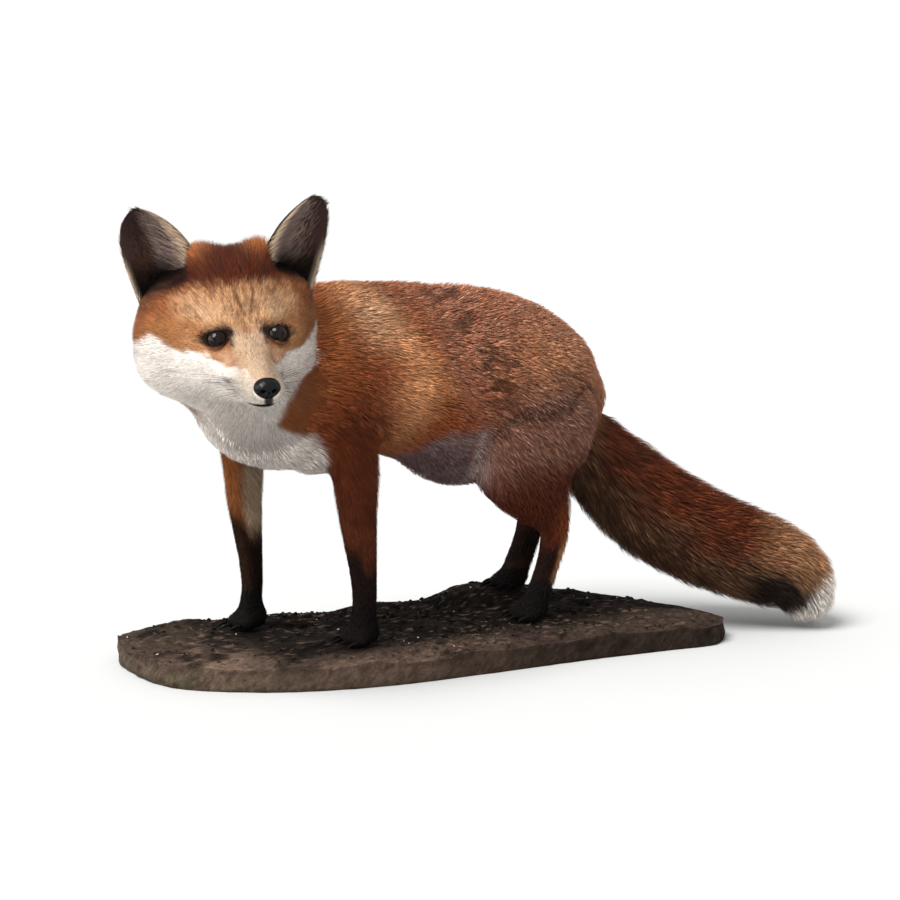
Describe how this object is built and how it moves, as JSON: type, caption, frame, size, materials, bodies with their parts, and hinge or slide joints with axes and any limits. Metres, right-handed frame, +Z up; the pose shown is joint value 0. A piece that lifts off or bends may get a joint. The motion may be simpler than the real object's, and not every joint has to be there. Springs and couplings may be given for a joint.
{
  "type": "mounted red fox",
  "caption": "Life-size mounted red fox standing on a slab of earth, head turned back over its left shoulder, hindquarters low and brush trailing.",
  "frame": {"origin": "middle of the earth slab's flat underside", "axes": "+Z up, the fox faces -Y and its left side is +X; Y runs along the body from the brush to the chest"},
  "size_m": [0.3236, 0.7722, 0.4793],
  "materials": {
    "coat_rust": "rust-red fur on neck, shoulders and forelegs",
    "coat_back": "grizzled red-brown fur on back, flanks and thighs",
    "coat_face": "short buff fur with white cheeks and throat",
    "coat_ear": "short black fur, cream inside",
    "coat_brush": "long red-brown fur with a pale tip",
    "coat_stocking": "short black-brown fur",
    "claw_horn": "dark worn horn",
    "eye_glass": "polished dark brown glass",
    "nose_leather": "black pebbled, waxed",
    "earth": "dark crumbly modelled earth"
  },
  "bodies": {
    "root": {"base": "earth", "trunk": "coat_back", "neck": "coat_rust", "head": "coat_face", "nose": "nose_leather", "eye_left": "eye_glass", "eye_right": "eye_glass", "ear_left": "coat_ear", "ear_right": "coat_ear", "tail": "coat_brush", "leg_fore_left": "coat_rust", "paw_fore_left": "coat_stocking", "claw_fore_left_1": "claw_horn", "claw_fore_left_2": "claw_horn", "claw_fore_left_3": "claw_horn", "claw_fore_left_4": "claw_horn", "leg_fore_right": "coat_rust", "paw_fore_right": "coat_stocking", "claw_fore_right_1": "claw_horn", "claw_fore_right_2": "claw_horn", "claw_fore_right_3": "claw_horn", "claw_fore_right_4": "claw_horn", "leg_hind_left": "coat_back", "paw_hind_left": "coat_stocking", "claw_hind_left_1": "claw_horn", "claw_hind_left_2": "claw_horn", "claw_hind_left_3": "claw_horn", "claw_hind_left_4": "claw_horn", "leg_hind_right": "coat_back", "paw_hind_right": "coat_stocking", "claw_hind_right_1": "claw_horn", "claw_hind_right_2": "claw_horn", "claw_hind_right_3": "claw_horn", "claw_hind_right_4": "claw_horn"}
  },
  "joints": []
}
